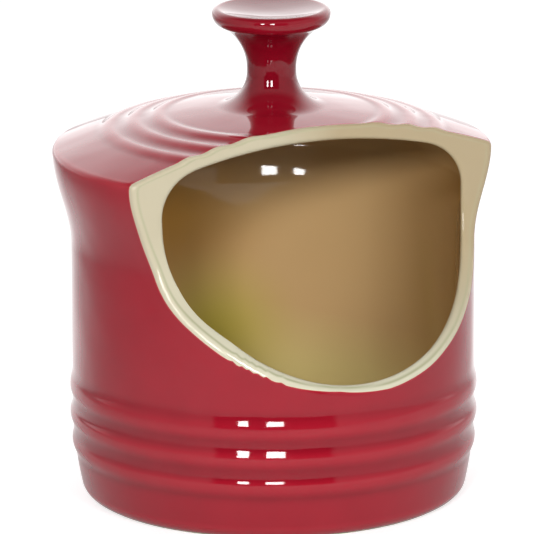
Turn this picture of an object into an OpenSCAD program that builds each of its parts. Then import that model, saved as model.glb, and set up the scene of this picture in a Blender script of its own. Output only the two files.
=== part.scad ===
// Stoneware salt pig: a round pot with a domed, knobbed top and one mouth cut through its front.
// The axis is Z, the pot stands on Z = 0 and the mouth faces -Y. All sizes are in millimetres and are
// those of the finished, glazed surface.

/* [Pot] */
// Diameter that the wall would have on the ground, without the rounded foot
foot_d = 100; // [92:0.5:104]
// Diameter of the plain wall between the rings and the flare
waist_d = 106; // [100:0.5:112]
// Largest diameter, at the shoulder
shoulder_d = 115.2; // [110:0.2:126]
// Height of the shoulder above the ground
shoulder_h = 92; // [86:0.2:110]
// Height at which the wall starts to flare out to the shoulder
flare_h = 68; // [56:0.5:74]
// Height at which the taper of the foot has run out into the plain wall
taper_h = 24; // [14:0.5:40]
// Radius of the shoulder's outer edge
shoulder_round = 1.5; // [0.8:0.1:3]
// Thickness of the side wall, glaze and all
wall = 3.7; // [3:0.1:6]
// Thickness of the floor, glaze and all
floor_t = 5.5; // [4:0.1:9]
// Radius between the floor and the wall inside
floor_round = 8; // [3:0.5:14]
// Radius between the wall and the domed top inside
vault_round = 12.5; // [5:0.5:14]

/* [Foot] */
// Radius of the rounded outer edge of the foot
foot_round = 4; // [2:0.1:5]
// Width of the bare ring that the pot stands on
foot_ring_w = 5; // [3:0.1:9]
// Depth of the underside inside that ring
foot_recess = 1.5; // [0.8:0.1:3]

/* [Rings on the wall] */
// Number of raised rings round the lower wall
ring_count = 3; // [1:1:4]
// Height of the crest of the lowest ring
ring_low_h = 14.3; // [12:0.2:18]
// Spacing of the rings
ring_pitch = 7.6; // [5:0.1:8.5]
// Height of a ring over the wall
ring_relief = 0.65; // [0.2:0.05:1.2]
// Height over which the top ring runs out into the plain wall
ring_run = 6; // [3:0.1:10]

/* [Domed top] */
// Rise of the dome from the shoulder to its centre, without the knob
dome_rise = 11.3; // [7:0.1:18]
// Thickness of the domed top, glaze and all
dome_t = 4.2; // [3.2:0.1:6]
// Number of ridges on the dome
ridge_count = 3; // [1:1:4]
// Radius of the crest of the innermost ridge
ridge_inner_r = 29.8; // [27:0.2:34]
// Spacing of the ridges
ridge_pitch = 6.6; // [4:0.1:7]
// Height of a ridge over the dome
ridge_relief = 0.5; // [0.2:0.05:1]

/* [Knob] */
// Diameter of the knob's rim
knob_d = 31; // [26:0.2:33]
// Diameter of the knob's neck
neck_d = 12.9; // [11:0.1:16]
// Height of the knob over the centre of the dome
knob_h = 25.2; // [24.7:0.1:34]
// Radius of the sweep from the dome up into the neck
neck_sweep = 9.2; // [5:0.1:9.7]
// Radius of the sweep from the neck out to the rim
rim_sweep = 12.9; // [8:0.1:13.6]
// Radius of the rim's underside
rim_under = 3.3; // [2:0.1:4.1]
// Radius of the rim's top edge
rim_top = 1.5; // [0.8:0.1:2]
// Depth of the dish in the knob's top
dish_depth = 1.6; // [0.6:0.1:3]

/* [Mouth] */
// Distance of the mouth's upright cut from the axis
mouth_set = 24.3; // [20:0.1:34]
// Height at which the sloping cut leaves the plain wall
sill_h = 38.9; // [36:0.1:48]
// Slope of the lower cut, in degrees below level
sill_slope = 43.5; // [30:0.1:47]
// Radius that joins the upright cut to the sloping one
mouth_round = 31.4; // [18:0.1:34]
// Depth of the lip's bead, from the cut back into the wall
lip_bead = 4; // [3:0.1:5]
// Width of the cut face taken by the rounded outer edge of the lip
lip_out = 1.1; // [0.6:0.1:1.8]
// Width of the cut face taken by the rounded inner edge of the lip
lip_in = 3; // [1.5:0.1:4.5]

/* [Glaze] */
// Thickness of the fired glaze coats
glaze_t = 0.5; // [0.3:0.05:0.6]
// Angle on the rounded foot, below level, down to which the outer glaze runs
glaze_end = 60; // [40:1:70]

/* [Hidden] */
$fn = 120;

cerise = [0.59, 0.09, 0.15];
cream = [0.84, 0.80, 0.69];
stoneware = [0.80, 0.74, 0.65];

// Steps along each stretch of the profiles
ring_steps = 10;
plain_steps = 5;
curve_steps = 10;
arc_steps = 8;
// Rays round the mouth, below and above the shoulder, on which the lip's section is worked out
low_rays = 72;
high_rays = 56;
// Share of half a pitch over which the groove between two rings is rounded out
groove_soft = 0.55;

foot_r = foot_d / 2;
waist_r = waist_d / 2;
shoulder_r = shoulder_d / 2;
knob_r = knob_d / 2;
neck_r = neck_d / 2;
cavity_r = waist_r - wall;
floor_h = foot_recess + floor_t;

// How high and how far out the mouth's cutter reaches
cutter_top = shoulder_h + dome_rise + knob_h;
cutter_reach = shoulder_d;

// Helpers: easing, arcs, and a path moved sideways by the same distance all along
function ease(t) = t * t * (3 - 2 * t);
function steps(a, b, n) = [for (i = [0 : n]) a + (b - a) * i / n];
function arc(centre, r, from, to, n) =
    [for (t = steps(from, to, n)) centre + r * [cos(t), sin(t)]];
function unit(v) = v / norm(v);
function left_of(v) = [-v[1], v[0]];
function side(path, i) =
    let (last = len(path) - 1)
    let (ahead = i < last ? unit(path[i + 1] - path[i]) : [0, 0])
    let (behind = i > 0 ? unit(path[i] - path[i - 1]) : [0, 0])
    left_of(unit(ahead + behind));
function aside(path, distance) =
    [for (i = [0 : len(path) - 1])
        let (p = path[i] + distance * side(path, i))
        path[i][0] == 0 ? [0, p[1]] : p];
function back(path) = [for (i = [len(path) - 1 : -1 : 0]) path[i]];
function cut(path, from, to) = [for (i = [from : to]) path[i]];

// One raised ring: 1 on its crest, a rounded groove half a pitch away
function ring(u) =
    let (edge = 0.5 - groove_soft / 2)
    u < edge ? 1 - 4 * u * u
             : 1 - 4 * edge * edge - 8 * edge * (u - edge) * (1 - (u - edge) / groove_soft);
// A row of rings along x, with its first crest at start and its last one running out over some length
function rings(x, start, pitch, count, run) =
    let (last = start + (count - 1) * pitch)
    let (turn = x > last ? count - 1 + (x - last) / run / 2 : (x - start) / pitch)
    turn < -0.5 || turn > count - 0.5 ? 0
        : (ring(abs(turn - round(min(max(turn, 0), count - 1)))) - ring(0.5)) / (1 - ring(0.5));

// Outer wall: tapered foot, plain waist, flare to the shoulder, and the rings on top of these
function wall_base(z) =
    z < taper_h ? waist_r - (waist_r - foot_r) * pow(1 - z / taper_h, 2)
    : z < flare_h ? waist_r
    : waist_r + (shoulder_r - waist_r) * ease((z - flare_h) / (shoulder_h - flare_h));
function wall_r(z) = wall_base(z) + ring_relief * rings(z, ring_low_h, ring_pitch, ring_count, ring_run);
function wall_path(zs) = [for (z = zs) [wall_r(z), z]];

band_low = ring_low_h - ring_pitch / 2;
band_top = ring_low_h + (ring_count - 1) * ring_pitch + ring_run;

// Rounded foot, which runs out into the tapered wall
foot_tilt = atan(2 * (waist_r - foot_r) / taper_h);
foot_top_h = foot_round * (1 - sin(foot_tilt));
foot_centre = [wall_base(foot_top_h) - foot_round * cos(foot_tilt), foot_round];

// Dome: a parabola from the shoulder's edge to the axis, with its ridges
dome_slope = atan(2 * dome_rise / (shoulder_r - shoulder_round));
dome_edge = [shoulder_r - shoulder_round, shoulder_h] + shoulder_round * [sin(dome_slope), cos(dome_slope)];
crown_h = dome_edge[1] + dome_rise;
function dome_base(r) = crown_h - dome_rise * pow(r / dome_edge[0], 2);
function dome_z(r) =
    dome_base(r) + ridge_relief * rings(r, ridge_inner_r, ridge_pitch, ridge_count, ridge_pitch / 2);
function dome_tilt(r) = atan(2 * dome_rise * r / pow(dome_edge[0], 2));
function dome_path(rs) = [for (r = rs) [r, dome_z(r)]];

ridge_low_r = ridge_inner_r - ridge_pitch / 2;
ridge_high_r = ridge_low_r + ridge_count * ridge_pitch;

// Sweep from the dome up into the knob's neck
sweep_r = neck_r + neck_sweep;
sweep_tilt = dome_tilt(sweep_r);
sweep_foot_r = sweep_r - neck_sweep * sin(sweep_tilt);
sweep_centre = [sweep_r, dome_base(sweep_foot_r) + neck_sweep * cos(sweep_tilt)];

// Knob: neck, sweep out to the rim, rounded rim and dished top
top_h = crown_h + knob_h;
rim_h = top_h - rim_top;
rim_centre_r = knob_r - rim_under;
rim_reach = rim_sweep + rim_under;
rim_rise = sqrt(pow(rim_reach, 2) - pow(rim_reach - knob_r + neck_r, 2));
neck_top = [neck_r + rim_sweep, rim_h - rim_rise];
rim_turn = atan2(rim_rise, rim_centre_r - neck_top[0]);
dish_r = knob_r - rim_top;
dish_tilt = atan(2 * dish_depth / dish_r);
dish_edge = [dish_r, rim_h] + rim_top * [-sin(dish_tilt), cos(dish_tilt)];
function dish_z(r) = dish_edge[1] - dish_depth * (1 - pow(r / dish_edge[0], 2));

// Inside of the pot: floor, cylinder, flare and a rounded vault under the dome. The vault's rounding starts
// at the joint, at the height where it meets both the flare and the dome without a kink.
function lean(z) =
    let (t = (z - flare_h) / (shoulder_h - flare_h))
    atan((shoulder_r - waist_r) / (shoulder_h - flare_h) * 6 * t * (1 - t));
function vault_z(r) = dome_base(r) - dome_t;
function vault_r_from(z) = wall_base(z) - wall - vault_round * cos(lean(z));
function vault_tilt_from(r) = dome_tilt(r + vault_round * sin(dome_tilt(r)));
function vault_h_from(r) =
    let (tilt = vault_tilt_from(r))
    vault_z(r + vault_round * sin(tilt)) - vault_round * cos(tilt);
function settled(z, rounds) =
    rounds == 0 ? z : settled(vault_h_from(vault_r_from(z)) - vault_round * sin(lean(z)), rounds - 1);
joint_h = settled(shoulder_h - vault_round, 20);
function vault(r, h, from) =
    let (tilt = vault_tilt_from(r))
    concat(
        arc([r, h], vault_round, from, 90 - tilt, arc_steps),
        [for (q = cut(steps(r + vault_round * sin(tilt), 0, curve_steps), 1, curve_steps)) [q, vault_z(q)]]);

// The finished outside from the foot to the joint, from there to the knob's seat, and the knob
outside_pot = concat(
    arc(foot_centre, foot_round, -glaze_end, -foot_tilt, arc_steps),
    wall_path(cut(steps(foot_top_h, band_low, plain_steps), 1, plain_steps - 1)),
    wall_path(steps(band_low, band_top, ring_count * ring_steps)),
    wall_path(cut(steps(band_top, flare_h, plain_steps), 1, plain_steps)),
    wall_path(cut(steps(flare_h, joint_h, curve_steps), 1, curve_steps)));
outside_top = concat(
    wall_path(cut(steps(joint_h, shoulder_h, plain_steps), 1, plain_steps - 1)),
    arc([shoulder_r - shoulder_round, shoulder_h], shoulder_round, 0, 90 - dome_slope, arc_steps),
    dome_path(cut(steps(dome_edge[0], ridge_high_r, plain_steps), 1, plain_steps - 1)),
    dome_path(steps(ridge_high_r, ridge_low_r, ridge_count * ring_steps)),
    dome_path(cut(steps(ridge_low_r, sweep_foot_r, plain_steps), 1, plain_steps - 1)),
    [[sweep_foot_r, dome_base(sweep_foot_r)]]);
outside_knob = concat(
    cut(arc(sweep_centre, neck_sweep, 270 - sweep_tilt, 180, curve_steps), 1, curve_steps),
    arc(neck_top, rim_sweep, 180, rim_turn, curve_steps),
    cut(arc([rim_centre_r, rim_h], rim_under, rim_turn - 180, 0, arc_steps), 1, arc_steps),
    cut(arc([dish_r, rim_h], rim_top, 0, 90 + dish_tilt, arc_steps), 1, arc_steps),
    [for (r = cut(steps(dish_edge[0], 0, plain_steps), 1, plain_steps)) [r, dish_z(r)]]);
outside = concat(outside_pot, outside_top, outside_knob);
joint_i = len(outside_pot) - 1;
seat_i = joint_i + len(outside_top);
clay_outside = aside(outside, glaze_t);

// The finished inside, from the middle of the floor to the middle of the vault
inside_floor = concat(
    [[0, floor_h]],
    arc([cavity_r - floor_round, floor_h + floor_round], floor_round, -90, 0, arc_steps));
inside_pot = concat(inside_floor, [for (z = steps(flare_h, joint_h, curve_steps)) [wall_base(z) - wall, z]]);
inside_vault = vault(vault_r_from(joint_h), joint_h + vault_round * sin(lean(joint_h)), -lean(joint_h));
inside = concat(inside_pot, cut(inside_vault, 1, len(inside_vault) - 1));
joint_in = len(inside_pot) - 1;
clay_inside = aside(inside, -glaze_t);

// The lip is thicker than the flared wall behind it: on its inside the cylinder runs up to the vault
lip_vault_r = cavity_r - vault_round;
lip_inside = concat(inside_floor, vault(lip_vault_r, vault_h_from(lip_vault_r), 0));

// Bare foot under the end of the outer glaze
foot_out_r = foot_centre[0] + foot_round * cos(glaze_end) - glaze_t;
foot_in_r = foot_out_r - foot_ring_w;
foot_under = [
    [0, foot_recess + glaze_t],
    [foot_in_r, foot_recess + glaze_t],
    [foot_in_r, glaze_t],
    [foot_in_r + glaze_t, 0],
    [foot_out_r - glaze_t, 0]];

// Side view of the mouth's cut, as [-Y, Z], set back into the clay by some distance
mouth_centre_y = mouth_set + mouth_round;
mouth_centre = [
    mouth_centre_y,
    sill_h + (mouth_round - (mouth_centre_y - waist_r) * sin(sill_slope)) / cos(sill_slope)];
function mouth_view(set_back) =
    let (bend = arc(mouth_centre, mouth_round + set_back, 180, 270 - sill_slope, 2 * arc_steps))
    let (end = bend[2 * arc_steps])
    concat(
        [[mouth_set - set_back, cutter_top]],
        bend,
        [end + (cutter_reach - end[0]) * [1, -tan(sill_slope)], [cutter_reach, cutter_top]]);

// The cut rolled out flat, and its points on rays from where the bend starts. Ray 0 runs down the middle.
bend_length = mouth_round * (90 - sill_slope) * PI / 180;
function sheet(down, set_back) =
    let (turn = 180 + min(max(down, 0), bend_length) / mouth_round * 180 / PI)
    let (run = max(down - bend_length, 0))
    mouth_centre + (mouth_round + set_back) * [cos(turn), sin(turn)]
        + run * [cos(sill_slope), -sin(sill_slope)] - min(down, 0) * [0, 1];
function on_ray(ray, distance, set_back) =
    let (p = sheet(distance * cos(ray), set_back))
    [distance * sin(ray), -p[0], p[1]];

// Turned surfaces as angle and distance from a point on the axis inside the hollow, in steps of a millimetre
heart_h = (floor_h + joint_h) / 2;
function dense(path) =
    [for (i = [0 : len(path) - 2])
        let (n = ceil(norm(path[i + 1] - path[i])))
        for (k = [0 : n - 1]) path[i] + (path[i + 1] - path[i]) * k / n];
function seen(path) = [for (p = dense(path)) [atan2(p[1] - heart_h, p[0]), norm(p - [0, heart_h])]];
seen_outside = seen(concat(outside_pot, outside_top));
seen_clay = seen(cut(clay_outside, 0, seat_i));
seen_inside = seen(lip_inside);
function within(p, surface) =
    let (r = norm([p[0], p[1]]))
    norm([r, p[2] - heart_h]) < lookup(atan2(p[2] - heart_h, r), surface);

// Where a ray leaves a turned surface, found by halving
function leaves(ray, set_back, surface, near = 0, far = cutter_reach, halvings = 32) =
    let (middle = (near + far) / 2)
    let (p = on_ray(ray, middle, set_back))
    halvings == 0 ? p
        : within(p, surface) ? leaves(ray, set_back, surface, middle, far, halvings - 1)
        : leaves(ray, set_back, surface, near, middle, halvings - 1);

// Section of the lip on a ray: rounded outer edge, cut face, rounded inner edge, then back under the glaze
function rounded(start, corner, end, n) =
    [for (t = cut(steps(0, 1, n), 1, n)) (1 - t) * (1 - t) * start + 2 * t * (1 - t) * corner + t * t * end];
function lip_section(ray) =
    let (outer = leaves(ray, 0, seen_outside), inner = leaves(ray, 0, seen_inside))
    let (start = leaves(ray, lip_out, seen_outside), end = leaves(ray, lip_bead, seen_inside))
    let (face = norm(inner - outer), across = unit(inner - outer))
    let (share = min(1, 0.95 * face / (lip_out + lip_in)))
    let (face_start = outer + share * lip_out * across, face_end = inner - share * lip_in * across)
    concat(
        [start], rounded(start, outer, face_start, 3),
        [face_end], rounded(face_end, inner, end, 5),
        [for (s = steps(lip_bead, lip_out, 2)) leaves(ray, s, seen_clay)]);

// Rays lie closest at the two corners where the mouth crosses the shoulder
function corner_ray(low = 60, high = 160, halvings = 24) =
    let (middle = (low + high) / 2)
    halvings == 0 ? middle
        : leaves(middle, 0, seen_outside)[2] < shoulder_h ? corner_ray(middle, high, halvings - 1)
        : corner_ray(low, middle, halvings - 1);
function spread(t) = sin(85 * t) / sin(85);
corner = corner_ray();
lip_rays = concat(
    [for (i = [0 : low_rays - 1]) corner * spread(2 * i / low_rays - 1)],
    [for (i = [0 : high_rays - 1]) 180 + (180 - corner) * spread(2 * i / high_rays - 1)]);

// A closed tube through sections with the same number of points
module tube(sections) {
    n = len(sections);
    k = len(sections[0]);
    polyhedron(
        points = [for (section = sections) each section],
        faces = [for (i = [0 : n - 1], j = [0 : k - 1])
            let (a = i * k + j, b = i * k + (j + 1) % k)
            let (c = (i + 1) % n * k + (j + 1) % k, d = (i + 1) % n * k + j)
            each [[a, b, c], [a, c, d]]]);
}

module mouth_cutter(set_back) {
    rotate([90, 0, 90])
        linear_extrude(2 * cutter_reach, center = true)
            polygon([for (p = mouth_view(set_back)) [-p[0], p[1]]]);
}

module turned(outline) {
    rotate_extrude()
        polygon(outline);
}

module pot() {
    color(stoneware)
        difference() {
            turned(concat(foot_under, cut(clay_outside, 0, joint_i), back(cut(clay_inside, 0, joint_in))));
            mouth_cutter(lip_bead);
        }
}

module domed_top() {
    color(stoneware)
        difference() {
            turned(concat(
                cut(clay_outside, joint_i, seat_i),
                [[0, clay_outside[seat_i][1]]],
                back(cut(clay_inside, joint_in, len(clay_inside) - 1))));
            mouth_cutter(lip_bead);
        }
}

module knob() {
    color(stoneware)
        turned(concat(
            [[0, clay_outside[seat_i][1]]],
            cut(clay_outside, seat_i, len(clay_outside) - 1)));
}

module outer_glaze() {
    color(cerise)
        difference() {
            turned(concat(outside, back(clay_outside)));
            mouth_cutter(lip_out);
        }
}

module inner_glaze() {
    color(cream)
        difference() {
            turned(concat(clay_inside, back(inside)));
            mouth_cutter(lip_bead);
        }
}

module lip_glaze() {
    color(cream)
        tube([for (ray = lip_rays) lip_section(ray)]);
}

module base_glaze() {
    color(cerise)
        translate([0, 0, foot_recess])
            cylinder(h = glaze_t, r = foot_in_r);
}

pot();
domed_top();
knob();
outer_glaze();
inner_glaze();
lip_glaze();
base_glaze();
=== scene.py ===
# %% [markdown]
# # A salt pig in glazed stoneware
# A salt pig keeps salt by the stove: a squat round pot with a closed domed top, a turned knob and one
# wide mouth for the hand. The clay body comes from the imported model. This lesson makes the two skins that
# the eye meets, the cerise glaze outside and the cream glaze inside, and then lights them as in a white
# studio tent.

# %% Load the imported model
import math

import bpy
import numpy as np
from mathutils import Matrix


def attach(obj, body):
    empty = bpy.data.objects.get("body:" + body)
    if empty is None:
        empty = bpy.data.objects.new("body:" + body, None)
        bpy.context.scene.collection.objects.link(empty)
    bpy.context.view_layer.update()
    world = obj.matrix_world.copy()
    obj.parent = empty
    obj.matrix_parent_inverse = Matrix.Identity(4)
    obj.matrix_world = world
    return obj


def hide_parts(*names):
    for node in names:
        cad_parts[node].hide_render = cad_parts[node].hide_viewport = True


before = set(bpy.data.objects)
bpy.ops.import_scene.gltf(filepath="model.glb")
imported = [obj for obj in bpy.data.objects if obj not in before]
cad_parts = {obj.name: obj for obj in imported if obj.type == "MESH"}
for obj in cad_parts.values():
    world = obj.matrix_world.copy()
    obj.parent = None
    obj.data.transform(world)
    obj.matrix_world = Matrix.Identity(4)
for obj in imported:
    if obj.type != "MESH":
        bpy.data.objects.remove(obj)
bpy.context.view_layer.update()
scene = bpy.context.scene
scene.view_settings.view_transform = "Standard"
MM = 0.001

# %% [markdown]
# ## The camera
# The photograph was taken with a long lens from a little above, with the mouth turned away to the right.
# A long lens far off keeps the rings of the pot almost parallel. A Track To constraint could aim the
# camera at the pot. Here its place is a turn round the pot's axis, a distance, a height and a tilt, so
# that each number can be read and changed by itself.

# %% Camera
photo_width = 540  # pixels
focal_length = 7252  # pixels
sensor_width = 36  # millimetres
mouth_turn = math.radians(26.9)
camera_distance = 1.84884  # metres
camera_height = 0.52702
camera_side = -0.000713
camera_pitch = 0.24737  # radians
camera_roll = -0.00585

lens = bpy.data.cameras.new("camera")
lens.sensor_width = sensor_width
lens.lens = sensor_width * focal_length / photo_width
camera = bpy.data.objects.new("camera", lens)
scene.collection.objects.link(camera)
scene.camera = camera
turned_away = Matrix.Rotation(-mouth_turn, 4, "Z")
stand = Matrix.Translation((camera_side, -camera_distance, camera_height))
tilt = Matrix.Rotation(math.pi / 2 - camera_pitch, 4, "X") @ Matrix.Rotation(camera_roll, 4, "Z")
camera.matrix_world = turned_away @ stand @ tilt
print("lens", round(lens.lens, 1), "mm")

# %% [markdown]
# ## The turned outline
# A potter turns this form on a wheel, so one outline in radius and height gives the whole outside:
# rounded foot, wall with three soft rings, flare, shoulder, ridged dome, neck and dished knob. A Screw
# modifier could spin such a line, but the mouth is cut through it later, so the outline is kept as
# numbers that other steps can ask. All its sizes are in millimetres.

# %% Lines and arcs
step = 0.3  # between neighbouring points
arc_least, line_least = 4, 2


def arc(centre, radius, start, end):
    """Points along an arc, with angles in degrees."""
    count = arc_least + int(abs(math.radians(end - start)) * radius / step)
    turn = np.radians(np.linspace(start, end, count))
    return np.stack([centre[0] + radius * np.cos(turn), centre[1] + radius * np.sin(turn)], 1)


def along(start, end):
    """Even steps from start to end."""
    return np.linspace(start, end, line_least + int(abs(end - start) / step))


print("a 10 mm line has", len(along(0, 10)), "points, a 10 mm quarter circle", len(arc((0, 0), 10, 0, 90)))

# %% Rings: raised bands with a rounded groove between them
groove_soft = 0.55  # share of a pitch that the groove's rounding takes


def ring(u):
    """One raised ring: 1 on its crest, with a rounded groove half a pitch away."""
    edge = 0.5 - groove_soft / 2
    groove = 1 - 4 * edge**2 - 8 * edge * (u - edge) * (1 - (u - edge) / groove_soft)
    return np.where(u < edge, 1 - 4 * u * u, groove)


def rings(x, start, pitch, count, run):
    """A row of rings along x, with its first crest at start and its last one running out over a length."""
    last = start + (count - 1) * pitch
    turn = np.where(x > last, count - 1 + (x - last) / run / 2, (x - start) / pitch)
    low = ring(0.5)
    height = (ring(np.abs(turn - np.round(np.clip(turn, 0, count - 1)))) - low) / (1 - low)
    return np.where((turn < -0.5) | (turn > count - 0.5), 0, height)


print("ring profile: crest", float(ring(0)), "groove", round(float(ring(0.5)), 3))

# %% Wall
foot_r = 50
waist_r = 53
shoulder_r = 57.6
taper_h = 24  # the wall draws in to the foot below this height
flare_h = 68  # and swings out to the shoulder above this one
shoulder_h = 92
ring_count = 3
ring_low_h = 14.3
ring_pitch = 7.6
ring_relief = 0.65
ring_run = 5.2


def eased(part):
    """A run from 0 to 1 with a soft start and end."""
    return part**2 * (3 - 2 * part)


def wall_base(z):
    """Radius of the wall without its rings."""
    flare = np.clip((z - flare_h) / (shoulder_h - flare_h), 0, 1)
    taper = np.clip(1 - z / taper_h, 0, 1)
    return waist_r - (waist_r - foot_r) * taper**2 + (shoulder_r - waist_r) * eased(flare)


def wall(z):
    """Outline of the wall at these heights."""
    relief_here = ring_relief * rings(z, ring_low_h, ring_pitch, ring_count, ring_run)
    return np.stack([wall_base(z) + relief_here, z], 1)


print("wall", 2 * waist_r, "mm across at the waist,", 2 * shoulder_r, "mm at the shoulder")

# %% Dome
shoulder_round = 1.5
dome_rise = 11.3
ridge_count = 3
ridge_inner_r = 29.8
ridge_pitch = 6.6
ridge_relief = 0.5
dome_slope = math.atan(2 * dome_rise / (shoulder_r - shoulder_round))
dome_edge_r = shoulder_r - shoulder_round * (1 - math.sin(dome_slope))
crown_h = shoulder_h + shoulder_round * math.cos(dome_slope) + dome_rise


def dome_base(r):
    """Height of the dome without its ridges."""
    return crown_h - dome_rise * (r / dome_edge_r) ** 2


def dome_tilt(r):
    """Slope of the dome at a radius, as an angle."""
    return math.atan(2 * dome_rise * r / dome_edge_r**2)


def dome(r):
    """Outline of the dome at these radii."""
    relief_here = ridge_relief * rings(r, ridge_inner_r, ridge_pitch, ridge_count, ridge_pitch / 2)
    return np.stack([r, dome_base(r) + relief_here], 1)


print("crown at", round(crown_h, 2), "mm")

# %% Knob
knob_r = 15.5
knob_h = 25.2  # above the crown
neck_r = 6.45
neck_sweep = 9.2  # radius of the sweep from the dome up into the neck
rim_sweep = 12.9  # radius of the sweep from the neck out to the rim
rim_under = 3.3
rim_top = 1.5
dish_depth = 1.6
top_h = crown_h + knob_h
sweep_r = neck_r + neck_sweep
sweep_tilt = dome_tilt(sweep_r)
sweep_foot_r = sweep_r - neck_sweep * math.sin(sweep_tilt)
sweep_h = dome_base(sweep_foot_r) + neck_sweep * math.cos(sweep_tilt)
rim_h = top_h - rim_top
rim_reach = rim_sweep + rim_under
rim_rise = math.sqrt(rim_reach**2 - (rim_reach - knob_r + neck_r) ** 2)
neck_top = (neck_r + rim_sweep, rim_h - rim_rise)
rim_turn = math.degrees(math.atan2(rim_rise, knob_r - rim_under - neck_top[0]))
dish_r = knob_r - rim_top
dish_tilt = math.degrees(math.atan(2 * dish_depth / dish_r))
print("knob", 2 * knob_r, "mm across, top at", round(top_h, 2), "mm")

# %% Runs of the outline, from the end of the glaze on the foot to the middle of the knob
foot_round = 4
glaze_end = 60  # degrees below level, round the foot
foot_tilt = math.degrees(math.atan(2 * (waist_r - foot_r) / taper_h))
foot_top_h = foot_round * (1 - math.sin(math.radians(foot_tilt)))
foot_centre = (wall_base(foot_top_h) - foot_round * math.cos(math.radians(foot_tilt)), foot_round)
dish_edge = arc((dish_r, rim_h), rim_top, 0, 90 + dish_tilt)
dish_rs = along(dish_edge[-1, 0], 0)
dish_hs = dish_edge[-1, 1] - dish_depth * (1 - (dish_rs / dish_edge[-1, 0]) ** 2)
body_runs = [
    arc(foot_centre, foot_round, -glaze_end, -foot_tilt),
    wall(along(foot_top_h, shoulder_h)),
    arc((shoulder_r - shoulder_round, shoulder_h), shoulder_round, 0, 90 - math.degrees(dome_slope)),
    dome(along(dome_edge_r, sweep_foot_r)),
]
knob_runs = [
    arc((sweep_r, sweep_h), neck_sweep, 270 - math.degrees(sweep_tilt), 180),
    arc(neck_top, rim_sweep, 180, rim_turn),
    arc((knob_r - rim_under, rim_h), rim_under, rim_turn - 180, 0),
    dish_edge,
    np.stack([dish_rs, dish_hs], 1),
]
print(len(body_runs), "runs make the body,", len(knob_runs), "the knob")


# %% The whole outline
def joined(runs):
    """One line from runs that share their end points."""
    return np.concatenate([runs[0]] + [run[1:] for run in runs[1:]])


def lengths(line):
    """Distance along a line to each of its points."""
    return np.concatenate([[0], np.cumsum(np.hypot(*np.diff(line, axis=0).T))])


body = joined(body_runs)
outline = joined(body_runs + knob_runs)
outline_s = lengths(outline)
shoulder_i = int(np.argmax(body[:, 0]))
shoulder_s = outline_s[shoulder_i]
print("outline", len(outline), "points,", round(outline_s[-1], 1), "mm long")

# %% [markdown]
# ## The hollow
# Inside, the pot is a round hollow with a rounded floor and a vault under the dome. The lining stands
# upright and leans out near the top, until the lip hides it, and that lean decides where the glaze
# mirrors the windows. The lip is thicker than the wall behind it and keeps an upright inside, so there
# are two outlines. A Boolean could cut them out of a solid, but outlines can be asked for any point and
# give clean rows.

# %% Inside of the pot, as an outline
wall_t = 3.7
dome_t = 4.2
floor_h = 7
floor_round = 8
vault_round = 12.5
cavity_r = waist_r - wall_t


def vault_height(r):
    """Height of the vault's rounding, by the radius of its middle, and where it ends on the dome."""
    turn = dome_tilt(r + vault_round * math.sin(dome_tilt(r)))
    end_r = r + vault_round * math.sin(turn)
    return dome_base(end_r) - dome_t - vault_round * math.cos(turn), end_r, 90 - math.degrees(turn)


def inside(wall_line, middle_r, start):
    """The inside from the floor over a wall to the middle of the vault."""
    height, end_r, end = vault_height(middle_r)
    ceiling = along(end_r, 0)
    return joined([
        np.array([[0, floor_h], [cavity_r - floor_round, floor_h]]),
        arc((cavity_r - floor_round, floor_h + floor_round), floor_round, -90, 0),
        wall_line,
        arc((middle_r, height), vault_round, start, end),
        np.stack([ceiling, dome_base(ceiling) - dome_t], 1),
    ])


print("cavity", round(2 * cavity_r, 1), "mm across, floor at", floor_h, "mm")

# %% The upright inside of the lip
lip_vault_r = cavity_r - vault_round
upright_hs = along(floor_h + floor_round, vault_height(lip_vault_r)[0])
upright_line = np.stack([np.full_like(upright_hs, cavity_r), upright_hs], 1)
lip_hollow = inside(upright_line, lip_vault_r, 0)
print("upright for", round(upright_hs[-1] - upright_hs[0], 1), "mm")

# %% The leaning inside of the lining
lean_hs = (70.2, 77.6, 81)
leans = (0, 20, 20)  # degrees at those heights
vault_start = 10  # degrees above level, where the vault's rounding starts
settle_rounds = 20


def lean(z):
    """Lean of the flared wall at a height, as an angle."""
    climbed = (z - flare_h) / (shoulder_h - flare_h)
    return math.atan((shoulder_r - waist_r) / (shoulder_h - flare_h) * 6 * climbed * (1 - climbed))


# The vault's rounding has to touch the flared wall and the dome: each round brings it closer to both
joint_h = shoulder_h - vault_round
for _ in range(settle_rounds):
    vault_r = wall_base(joint_h) - wall_t - vault_round * math.cos(lean(joint_h))
    joint_h = vault_height(vault_r)[0] - vault_round * math.sin(lean(joint_h))
wall_hs = np.concatenate([along(floor_h + floor_round, flare_h), along(flare_h, lean_hs[-1])[1:]])
lean_here = np.radians(np.interp(wall_hs, lean_hs, leans))
widening = np.cumsum(np.gradient(wall_hs) * np.tan(lean_here))
hollow = inside(np.stack([cavity_r + widening, wall_hs], 1), vault_r, vault_start)
print("hollow", (2 * hollow[:, 0].max()).round(1), "mm at its widest, vault at", hollow[-1, 1].round(1))

# %% Each outline as seen from the heart of the pot, a point on its axis
heart_h = 55


def seen_from_heart(line):
    """A line as angle above level and distance, from the heart."""
    return np.arctan2(line[:, 1] - heart_h, line[:, 0]), np.hypot(line[:, 0], line[:, 1] - heart_h)


body_angle, body_reach = seen_from_heart(body)
hollow_angle, hollow_reach = seen_from_heart(hollow)
lip_angle, lip_reach = seen_from_heart(lip_hollow)
print("from the heart the body reaches", body_reach.min().round(1), "to", body_reach.max().round(1), "mm")

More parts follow.
